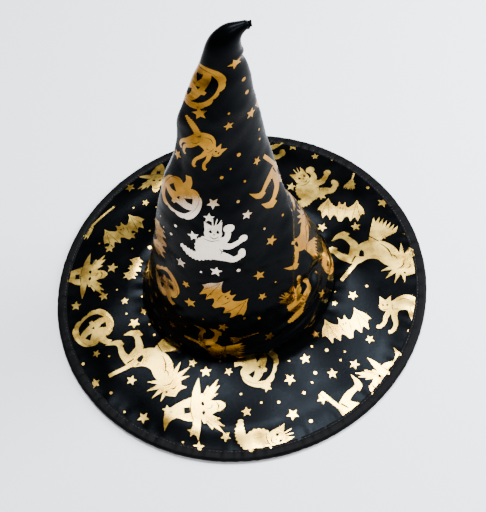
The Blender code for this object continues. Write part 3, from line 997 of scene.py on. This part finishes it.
def foil_look(name, dark, light):
    """Hot-pressed gold foil: thin metal that crazes finely and rubs off in specks."""
    m = Nodes(name, Metallic=1.0, Specular_IOR_Level=0.5)
    flat = m.cloth()
    cloud = m.noise(flat, 55.0, 5.0, 0.6)
    grain = m.noise(flat, 900.0, 3.0, 0.6)
    craze = m.add("ShaderNodeTexVoronoi", feature="DISTANCE_TO_EDGE", Vector=flat, Scale=210.0)
    crack = m.spread(craze.outputs["Distance"], 0.0, 0.035, 1.0, 0.0)
    worn = m.spread(m.times(grain, m.noise(flat, 26.0, 4.0, 0.6)), 0.46, 0.52)
    gold = m.mix(m.spread(cloud, 0.35, 0.65), dark, light)
    # painted highlight: the foil's colour is paled towards silvery white round one place on the front
    # of the crown, standing in for a reflection of light there
    far = m.add("ShaderNodeVectorMath", operation="DISTANCE", Vector=m.place())
    far.inputs[1].default_value = PAINTED_HIGHLIGHT_CENTRE
    near = m.spread(far.outputs["Value"], 0.030, 0.062, 1.0, 0.0)
    highlight_share = m.plus(near, m.spread(grain, 0.3, 0.7, -0.25, 0.1))
    gold = m.mix(m.times(m.spread(highlight_share, 0.1, 0.7), 0.85), gold, (0.88, 0.76, 0.62))
    gold = m.mix(m.times(crack, 0.22), gold, (0.14, 0.06, 0.012))
    m.link("Base Color", m.mix(worn, gold, (0.03, 0.022, 0.016)))
    m.link("Roughness", m.plus(m.spread(cloud, 0.3, 0.7, 0.22, 0.34), m.times(worn, 0.3)))
    crinkle = m.bump(m.noise(flat, 420.0, 4.0, 0.65), 0.05 * MM, 0.5)
    m.relief(crack, 0.02 * MM, 0.3, crinkle)
    return m.material


def tape_look():
    """Black bias tape: a plain weave on the bias, duller than the satin."""
    m = Nodes(
        "binding_tape",
        Specular_IOR_Level=0.04,
        Sheen_Weight=0.003,
        Sheen_Roughness=0.5,
        Sheen_Tint=(0.6, 0.66, 0.8, 1),
    )
    bias = m.cloth(math.radians(45))
    threads = [m.ribs(520.0, bias, Distortion=0.6, bands_direction=way) for way in "XY"]
    cloud = m.noise(m.cloth(), 70.0, 4.0)
    dark, light = (0.0009, 0.0009, 0.0011), (0.0024, 0.0024, 0.0028)
    m.surface(cloud, dark, light, (0.35, 0.7), 0.46, 0.60)
    m.relief(m.times(*threads), 0.05 * MM, 0.5)
    return m.material


def ribbon_look():
    """Black grosgrain ribbon, with ribs across its width."""
    m = Nodes("ribbon", Specular_IOR_Level=0.3, Sheen_Weight=0.15)
    lint = m.noise(m.cloth(), 500.0, 3.0)
    dark, light = (0.012, 0.012, 0.014), (0.05, 0.05, 0.055)
    m.surface(lint, dark, light, (0.45, 0.8), 0.55, 0.75)
    ribs = m.ribs(340.0, m.cloth(), Distortion=0.4, Detail=1.0)
    m.relief(ribs, 0.16 * MM, 0.8)
    return m.material


def felt_look(name, dark, light, fibre_scale):
    """Non-woven sheet: pressed fibres and a grid of bonding points."""
    m = Nodes(name, Specular_IOR_Level=0.15, Sheen_Weight=0.2)
    fibres = m.noise(m.place(), fibre_scale, 8.0, 0.7)
    bonds = m.add("ShaderNodeTexVoronoi", Vector=m.place(), Scale=520.0, Randomness=0.25)
    pit = m.spread(bonds.outputs["Distance"], 0.1, 0.35)
    m.surface(fibres, dark, light, (0.35, 0.65), 0.85, 0.97)
    m.relief(m.times(fibres, pit), 0.25 * MM, 0.8)
    return m.material


def label_look():
    """A blank white satin label, faintly ribbed and greyed in soft clouds."""
    m = Nodes("label", Specular_IOR_Level=0.4, Sheen_Weight=0.1)
    cloud = m.noise(m.cloth(), 120.0, 4.0)
    m.surface(cloud, (0.80, 0.80, 0.78), (0.66, 0.65, 0.62), (0.4, 0.8), 0.36, 0.5)
    ribs = m.ribs(700.0, m.cloth(), Distortion=0.3, bands_direction="Y")
    m.relief(ribs, 0.03 * MM, 0.5)
    return m.material


def thread_look(name, colour):
    """Twisted sewing thread."""
    m = Nodes(name, Specular_IOR_Level=0.4, Sheen_Weight=0.1)
    twist = m.ribs(1600.0, m.place(), bands_direction="DIAGONAL")
    m.link("Base Color", m.mix(twist, colour, tuple(0.6 * c for c in colour)))
    m.link("Roughness", m.spread(twist, 0, 1, 0.35, 0.5))
    m.relief(twist, 0.03 * MM, 0.6)
    return m.material


def wire_look():
    """Drawn spring steel with fine lines along it."""
    m = Nodes("spring_steel", Metallic=1.0)
    lines = m.noise(m.place(), 900.0, 4.0)
    m.surface(lines, (0.42, 0.42, 0.44), (0.56, 0.56, 0.58), (0, 1), 0.25, 0.42)
    m.relief(lines, 0.01 * MM, 0.4)
    return m.material


def tube_look():
    """Natural plastic tube."""
    m = Nodes("sleeve_plastic", Specular_IOR_Level=0.5)
    haze = m.noise(m.place(), 300.0, 3.0)
    m.surface(haze, (0.74, 0.74, 0.70), (0.62, 0.62, 0.58), (0, 1), 0.38, 0.5)
    return m.material


SATIN_BLACK = satin_look("printed_satin", (0.0004, 0.0005, 0.0005), (0.0011, 0.0011, 0.0013), 0.25)
SATIN_PLAIN = satin_look("plain_satin", (0.003, 0.003, 0.004), (0.006, 0.006, 0.007), 0.44)
FOIL_GOLD = foil_look("gold_foil", (0.50, 0.28, 0.034), (0.76, 0.51, 0.115))
# painted shade: a much darker copy of the same gold foil, for the crown's print, where the foil
# catches less light than on the brim
FOIL_SHADED = foil_look("shaded_gold_foil", (0.21, 0.088, 0.005), (0.36, 0.165, 0.014))
TAPE = tape_look()
RIBBON = ribbon_look()
INTERLINING = felt_look("interlining", (0.03, 0.03, 0.033), (0.11, 0.11, 0.115), 700.0)
FOAM = felt_look("brim_foam", (0.02, 0.02, 0.02), (0.06, 0.06, 0.06), 500.0)
LABEL = label_look()
BLACK_THREAD = thread_look("black_thread", (0.022, 0.022, 0.025))
WHITE_THREAD = thread_look("white_thread", (0.75, 0.75, 0.72))


# ================================================================ the brim
def brim_top():
    """The printed satin over the padding, with its foil."""

    def on_brim(x, y):
        clear = math.hypot(x / (OPENING[0] + 0.004), y / (OPENING[1] + 0.004)) > 1
        return clear and math.hypot(x, y) < SATIN_EDGE - 0.004

    big = [(n, x * MM, y * MM, size, turn) for n, x, y, size, turn in BRIM_MOTIFS]
    box = ((-SATIN_EDGE, -SATIN_EDGE), (SATIN_EDGE, SATIN_EDGE))
    stars = [(x * MM, y * MM) for x, y in BRIM_STARS]
    motifs = whole_print(big, stars, box, on_brim, seed=5)
    grid = lattice(*box, 2.6 * MM)
    inside = np.hypot(*grid.T) < SATIN_EDGE - 0.6 * MM
    inside &= np.hypot(grid[:, 0] / OPENING[0], grid[:, 1] / OPENING[1]) > 1.012
    edges = [oval_loop(0, 0, SATIN_EDGE, count=480), oval_loop(0, 0, *OPENING, 280)]
    flat, faces, printed = print_sheet(edges, grid[inside], motifs)
    mesh = mesh_of("brim_satin", np.column_stack([flat, TOP_Z + brim_wave(*flat.T)]), faces, flat)
    satin, foil = printed_pair(mesh, printed, "brim_foil_print", FOIL_GOLD)
    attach(satin, "hat")
    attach(foil, "hat")
    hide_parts("brim_top_cover")


def brim_under():
    """The plain satin under the brim."""
    rows, columns = 34, 480
    outer = np.array(oval_loop(0, 0, SATIN_EDGE, count=columns))
    inner = np.array(oval_loop(0, 0, *OPENING, columns))
    flat = np.concatenate([outer + (inner - outer) * (r / (rows - 1)) for r in range(rows)])
    sag = np.minimum(brim_wave(-flat[:, 0], flat[:, 1]), UNDER_Z - 0.25 * MM)
    points = np.column_stack([flat, UNDER_Z - sag])
    mesh = mesh_of("brim_under_satin", points, grid_faces(rows, columns, closed=True), flat)
    under = new_object("brim_under_satin", mesh, SATIN_PLAIN)
    mesh.flip_normals()
    thicken(under, SATIN)
    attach(under, "hat")
    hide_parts("brim_under_cover")


def binding():
    """The bias tape folded round the brim's edge, drawn into small puckers by its stitching."""
    width, columns = 8.0 * MM, 900
    middle_r, inner = BRIM_RADIUS - BEAD, BEAD - TAPE_CLOTH
    arc = [math.pi / 2 - math.pi * i / 12 for i in range(13)]
    leg = [width * (1 - i / 9) for i in range(9)]
    outside = [(-d, 1.0) for d in leg] + [(BEAD * math.cos(a), math.sin(a)) for a in arc]
    outside += [(-d, -1.0) for d in reversed(leg)]
    inside = [(x * inner / BEAD if x > 0 else x, z * inner / BEAD) for x, z in reversed(outside)]
    profile = outside + inside
    angle = np.tile(2 * math.pi * np.arange(columns) / columns, len(profile))
    across, rise = np.repeat(profile, columns, axis=0).T
    flat = [angle * BRIM_RADIUS, np.repeat(np.arange(len(profile)) * 0.8 * MM, columns)]
    radius, height = middle_r + across, BEAD + BEAD * rise
    ring = np.stack([np.cos(angle), np.sin(angle)], -1)
    on_top = smooth_step(height, BEAD, 2 * BEAD)
    leg_part = smooth_step(middle_r - radius, -0.5 * MM, 3 * MM)
    pucker = waves(ring * BRIM_RADIUS, 0.0075, 31) + 0.5 * waves(ring * BRIM_RADIUS, 0.030, 33)
    height = height + on_top * (0.16 + 0.20 * leg_part) * MM * pucker
    # the topstitch presses a groove into the tape, and the raw edge is turned under
    groove = np.exp(-(((middle_r - radius - EDGE_STITCH_IN) / (0.9 * MM)) ** 2))
    roll = smooth_step(middle_r - radius, 6.8 * MM, width)
    height = height - on_top * (0.45 * MM * groove + 0.55 * MM * roll)
    radius = radius + (0.15 * MM * pucker - 0.1 * MM) * (1 - leg_part)
    points = np.column_stack([ring * radius[:, None], height])
    faces = grid_faces(len(profile), columns, closed=True, tube=True)
    mesh = mesh_of("edge_tape", points, faces, np.column_stack(flat))
    reworked(mesh, lambda b: bmesh.ops.recalc_face_normals(b, faces=b.faces))
    tape = new_object("edge_tape", mesh, TAPE)
    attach(tape, "hat")
    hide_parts("edge_binding")
    x, y = np.array(oval_loop(0, 0, middle_r - EDGE_STITCH_IN, count=1200)).T
    for name, side, z in (
        ("edge_topstitch", 1, 2 * BEAD - 0.35 * MM),
        ("edge_under_stitch", -1, 0.16 * MM),
    ):
        line = [((x[i % 1200], y[i % 1200], z), (0, 0, side)) for i in range(1201)]
        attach(stitches(name, line, BLACK_THREAD), "hat")


# ================================================================ the crown
CROWN = Crown()


def fan_to_crown(flat):
    """(u, s) of points on the flat fan."""
    reach = np.hypot(*flat.T)
    turn = np.arctan2(flat[:, 0], -flat[:, 1])
    return np.clip(turn / FAN_ANGLE + 0.5, 0, 1), np.clip(CROWN.length - reach, 0, CROWN.length)


def crown_satin():
    """The printed satin of the crown: the flat fan, rolled up, sewn at the back and creased."""
    tail_end = 1.2 * MM
    half = FAN_ANGLE / 2
    radius = CROWN.length

    def fan_point(reach, turn):
        return (reach * math.sin(turn), -reach * math.cos(turn))

    arc_steps, side_steps, end_steps = 330, 200, 24
    outer = [fan_point(radius, -half + FAN_ANGLE * i / arc_steps) for i in range(arc_steps)]
    reaches = [radius + (tail_end - radius) * i / side_steps for i in range(side_steps)]
    outer += [fan_point(r, half) for r in reaches]
    outer += [fan_point(tail_end, half - FAN_ANGLE * i / end_steps) for i in range(end_steps)]
    outer += [fan_point(r, -half) for r in reversed(reaches[1:])]

    def on_fan(x, y):
        reach, turn = math.hypot(x, y), math.atan2(x, -y)
        return 0.050 < reach < radius - 0.003 and abs(turn) < half - 0.004 / reach

    def on_crown(motif):
        name, u, s, size, turn = motif
        x, y = CROWN.flat(np.array([u]), np.array([s * MM]))[0]
        lean = math.degrees((u - 0.5) * FAN_ANGLE)
        return name, x, y, size, turn + lean

    big = [on_crown(motif) for motif in CROWN_MOTIFS]
    box = ((-0.27, -radius), (0.27, 0.0))
    stars = CROWN.flat(*(np.array(CROWN_STARS) * (1, MM)).T)
    motifs = whole_print(big, stars, box, on_fan, seed=8)
    grid = lattice(*box, 2.0 * MM)
    reach, turn = np.hypot(*grid.T), np.arctan2(grid[:, 0], -grid[:, 1])
    inside = (reach > 2 * MM) & (reach < radius - 0.7 * MM)
    inside &= np.abs(turn) < half - 0.7 * MM / np.maximum(reach, 1 * MM)
    flat, faces, printed = print_sheet([outer], grid[inside], motifs)
    mesh = mesh_of("crown_satin", CROWN.points(*fan_to_crown(flat)), faces, flat)
    # the crown's foil is the darker copy of the gold foil, painted shade
    satin, foil = printed_pair(mesh, printed, "crown_foil_print", FOIL_SHADED, sewn=True)
    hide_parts("crown_cone", "crown_fold", "crown_tip")
    for piece in (satin, foil):
        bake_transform(piece)


def crown_lining():
    """The stiff non-woven sheet behind the satin."""
    columns, rows = 200, 120
    u = np.tile(np.linspace(0.0, 1.0 - 1.0 / columns, columns), rows)
    s = np.repeat(np.linspace(2 * MM, INTERLINING_END, rows), columns)
    points, faces = CROWN.points(u, s, 0.9 * MM), grid_faces(rows, columns, closed=True)
    flat = CROWN.flat(u, s)
    look, slot = INTERLINING, "interlining"
    lining = cloth_piece("crown_lining", points, faces, flat, look, STIFFENER)
    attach(lining, "hat")
    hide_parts("crown_interlining")


def back_seam():
    """The seam allowance inside the back of the crown: two raw edges pressed open."""
    rows, columns = 130, 9
    points, flat, faces = [], [], []
    for side in (-1, 1):
        base = len(points)
        for at in np.linspace(36 * MM, 280 * MM, rows):
            across = np.linspace(0.35 * MM, 5.5 * MM, columns) * side
            frayed = 0.35 * MM * math.sin(at / (1.7 * MM)) + 0.3 * MM * math.sin(at / (4.3 * MM))
            across[-1] += side * frayed
            u, s = (across / ((CROWN.length - at) * FAN_ANGLE)) % 1.0, np.full(columns, at)
            curl = 0.25 * MM * np.linspace(0, 1, columns) * (1 + math.sin(at / (11 * MM)))
            inwards = CROWN.outwards(u, s) * (1.75 * MM + curl)[:, None]
            points.extend(CROWN.points(u, s) - inwards)
            flat.extend(zip(across, s))
        quads = grid_faces(rows, columns)
        faces += [tuple(base + v for v in (q if side > 0 else reversed(q))) for q in quads]
    look, slot = SATIN_PLAIN, "printed_satin"
    seam = cloth_piece("seam_allowance", points, faces, flat, look, SEAM_CLOTH)
    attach(seam, "hat")
    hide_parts("crown_back_seam")


def head_ribbon():
    """The grosgrain ribbon inside the opening, joined into a ring, with two rows of stitches."""
    half_x, half_y, high = BAND_HIGH
    low = BAND_LOW.z
    lean, rows, columns = 2.4 * MM, 14, 720
    girth = 2 * math.pi * math.sqrt((half_x**2 + half_y**2) / 2)

    def on_ribbon(a, f, inset):
        """The point at the turn a and the share f of the width, moved inwards by inset metres."""
        inset += lean * f + 0.35 * MM * math.sin(7 * a + 1) * math.sin(math.pi * f)
        z = low + (high - low) * f + 0.25 * MM * math.sin(5 * a + 2) * f
        return (half_x - inset) * math.cos(a), (half_y - inset) * math.sin(a), z

    points, flat = [], []
    for r in range(rows):
        f = r / (rows - 1)
        for c in range(columns):
            points.append(on_ribbon(math.pi / 2 + 2 * math.pi * c / columns, f, 0.1 * MM))
            flat.append((c / columns * girth, (high - low) * f))
    faces = grid_faces(rows, columns, closed=True)
    ribbon = cloth_piece("head_ribbon", points, faces, flat, RIBBON, GROSGRAIN)
    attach(ribbon, "hat")
    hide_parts("head_band")
    for name, share in (("ribbon_stitch_low", 0.12), ("ribbon_stitch_high", 0.90)):
        line = []
        for i in range(601):
            x, y, z = on_ribbon(2 * math.pi * i / 600, share, 0.85 * MM)
            inwards = Vector((-x / half_x**2, -y / half_y**2, 0)).normalized()
            line.append(((x, y, z), tuple(inwards)))
        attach(stitches(name, line, BLACK_THREAD), "hat")


def care_label():
    """The blank label, which hangs from its stitched top edge."""
    low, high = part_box("care_label")
    width, drop = high.x - low.x, high.z - low.z
    columns, rows = 31, 27
    points, flat = [], []
    for r in range(rows):
        f = r / (rows - 1)
        for c in range(columns):
            g = c / (columns - 1) - 0.5
            curl = 0.5 * MM * f**2 * math.cos(2 * math.pi * g) - 0.3 * MM * f
            points.append((low.x + width * (g + 0.5), (low.y + high.y) / 2 + curl, high.z - drop * f))
            flat.append((width * g, -drop * f))
    faces = grid_faces(rows, columns)
    label = cloth_piece("blank_label", points, faces, flat, LABEL, LABEL_CLOTH, 0.0)
    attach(label, "label")
    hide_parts("care_label")
    across = [low.x + width * (0.04 + 0.92 * i / 40) for i in range(41)]
    line = [((x, low.y - 0.02 * MM, high.z - 1.6 * MM), (0, -1, 0)) for x in across]
    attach(stitches("label_stitch", line, WHITE_THREAD, stitch=2.0 * MM), "label")


def finish_cad_nodes():
    """Better materials for the CAD nodes that stay."""
    for node, look in (
        ("brim_foam", FOAM),
        ("brim_hoop", wire_look()),
        ("hoop_sleeve", tube_look()),
        ("opening_seam", SATIN_PLAIN),
    ):
        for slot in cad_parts[node].material_slots:
            slot.material = look


# ================================================================ the studio
def facing(place, aim):
    """The rotation of a light or a camera at place that points at aim."""
    return (Vector(aim) - Vector(place)).to_track_quat("-Z", "Y")


def studio():
    corners = [(-6, -6, 0), (6, -6, 0), (6, 6, 0), (-6, 6, 0)]
    floor = put("floor", mesh_of("floor", corners, [(0, 1, 2, 3)]))
    floor.location.z = -0.3 * MM
    grey = Nodes("floor", Base_Color=(0.86, 0.86, 0.86, 1), Roughness=0.9, Specular_IOR_Level=0.1)
    floor.data.materials.append(grey.material)

    world = bpy.data.worlds.new("studio")
    bpy.context.scene.world = world
    world.use_nodes = True
    sky = world.node_tree.nodes["Background"].inputs
    sky["Color"].default_value = (0.95, 0.97, 1.0, 1)
    sky["Strength"].default_value = 0.16
    for name, place, aim, size, power, colour in (
        ("sky_panel", (0.18, 0.60, 2.2), (0.05, -0.10, 0), (0.75, 0.50), 105, (0.90, 0.95, 1.0)),
        ("side_window", (1.0, 0.05, 0.75), (0.38, 0, 0), (0.7, 0.7), 48, (0.88, 0.94, 1.0)),
        ("top_fill", (0.3, -1.1, 2.4), (0.1, -0.1, 0.0), (0.7, 0.4), 30, (0.97, 0.97, 1.0)),
    ):
        light = bpy.data.lights.new(name, "AREA")
        light.shape = "RECTANGLE"
        light.size, light.size_y = size
        light.energy = power
        light.color = colour
        obj = put(name, light)
        obj.location = place
        obj.rotation_euler = facing(place, aim).to_euler()


def camera():
    """Looks down at the front from about 60 degrees, with the hat leaning a little to the left."""
    elevation, distance, roll = math.radians(60.25), 0.95, math.radians(-12.53)
    data = bpy.data.cameras.new("camera")
    data.sensor_width = 36.0
    data.lens = 64.8
    data.shift_x, data.shift_y = 0.008, 0.056
    obj = put("camera", data)
    obj.location = (0, -distance * math.cos(elevation), distance * math.sin(elevation))
    turn = facing(obj.location, (0, 0, 0)).to_matrix()
    obj.rotation_euler = (turn @ Matrix.Rotation(roll, 3, "Z")).to_euler()
    bpy.context.scene.camera = obj


crown_lining()
crown_satin()
brim_top()
brim_under()
binding()
back_seam()
head_ribbon()
care_label()
finish_cad_nodes()
studio()
camera()
